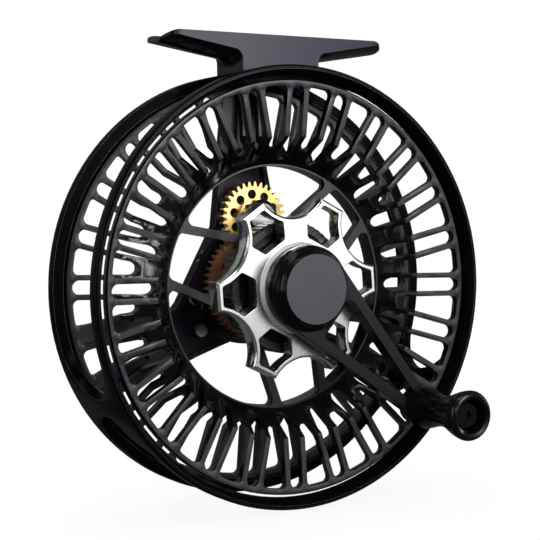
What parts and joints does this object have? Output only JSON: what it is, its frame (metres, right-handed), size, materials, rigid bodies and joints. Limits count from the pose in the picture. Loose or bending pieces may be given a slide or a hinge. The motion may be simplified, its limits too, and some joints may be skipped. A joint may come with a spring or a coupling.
{
  "type": "fly reel",
  "caption": "Large-arbor geared fly reel with a skeleton spool, open ring frame, star drag wheel, two-arm crank with a waisted knob, and a saddle rod foot.",
  "frame": {"origin": "on the reel's axis, at the centre of the frame's back face", "axes": "+Z towards the rod foot, -Y towards the crank and handle, +X along the foot"},
  "size_m": [0.1, 0.0498, 0.1074],
  "materials": {
    "frame_gloss_black": "gloss black anodised, polished",
    "spool_satin_grey": "satin dark grey anodised",
    "foot_blue_grey": "satin blue-grey anodised",
    "crank_satin_grey": "satin dark grey anodised",
    "cap_grey": "matt grey face, gloss black side",
    "star_polished": "polished bright",
    "housing_black": "knurled, black anodised",
    "knob_gloss_black": "gloss black anodised",
    "gear_gold": "bright gold",
    "bush_bronze": "turned",
    "steel": "ground",
    "disc_carbon": "woven carbon"
  },
  "bodies": {
    "frame": {"frame_cage": "frame_gloss_black", "reel_foot": "foot_blue_grey", "foot_screws": "steel", "main_spindle": "steel", "spindle_flange_screws": "steel", "spindle_end_washer": "steel", "spindle_end_screw": "steel", "thrust_washer": "bush_bronze", "lay_shaft": "steel", "click_pivot_pin": "steel", "click_spring": "steel", "click_spring_pin": "steel"},
    "spool": {"spool": "spool_satin_grey", "spool_bearings": "steel", "spool_pinion": "gear_gold", "pinion_grub_screws": "steel"},
    "lay_cluster": {"lay_gear": "gear_gold", "lay_pinion": "gear_gold", "lay_bush": "bush_bronze"},
    "drive": {"drive_sleeve": "steel", "sleeve_bushes": "bush_bronze", "sleeve_spacers": "steel", "drive_gear": "gear_gold", "drag_housing": "housing_black", "carbon_discs": "disc_carbon", "eared_drag_disc": "steel"},
    "crank": {"crank_shaft": "steel", "shaft_bushes": "bush_bronze", "keyed_drag_disc": "steel", "crank_arm": "crank_satin_grey", "crank_nut": "steel", "hub_cap": "cap_grey", "handle_post": "steel", "handle_screw": "steel"},
    "drag_stack": {"pressure_plate": "steel", "spring_washers": "steel"},
    "star": {"star_wheel": "star_polished"},
    "handle": {"handle_knob": "knob_gloss_black", "handle_bush": "bush_bronze"},
    "click_pawl": {"click_pawl": "steel"}
  },
  "joints": [
    {"name": "spool_turn", "type": "hinge", "parent": "frame", "child": "spool", "pos_m": [0, 0, 0], "axis": [0, 1, 0], "continuous": true},
    {"name": "lay_turn", "type": "hinge", "parent": "frame", "child": "lay_cluster", "pos_m": [-0.00075, 0, 0.01598], "axis": [0, 1, 0], "continuous": true},
    {"name": "drive_turn", "type": "hinge", "parent": "frame", "child": "drive", "pos_m": [0, 0, 0], "axis": [0, 1, 0], "continuous": true},
    {"name": "drag_slip", "type": "hinge", "parent": "drive", "child": "crank", "pos_m": [0, 0, 0], "axis": [0, 1, 0], "continuous": true},
    {"name": "star_advance", "type": "slide", "parent": "crank", "child": "drag_stack", "axis": [0, 1, 0], "range_m": [0, 0.000376]},
    {"name": "star_turn", "type": "hinge", "parent": "drag_stack", "child": "star", "pos_m": [0, 0, 0], "axis": [0, 1, 0], "range_deg": [0, 270]},
    {"name": "handle_turn", "type": "hinge", "parent": "crank", "child": "handle", "pos_m": [0.03049, 0, -0.02903], "axis": [0, 1, 0], "continuous": true},
    {"name": "pawl_rock", "type": "hinge", "parent": "frame", "child": "click_pawl", "pos_m": [-0.01442, 0, -0.01009], "axis": [0, 1, 0], "range_deg": [-8, 8], "stiffness_Nm_per_rad": 0.0001}
  ],
  "couplings": [
    {"joint": "lay_turn", "follows": "spool_turn", "ratio": -1},
    {"joint": "drive_turn", "follows": "spool_turn", "ratio": 0.33333},
    {"joint": "star_advance", "follows": "star_turn", "m_per_rad": 0.000079577}
  ]
}
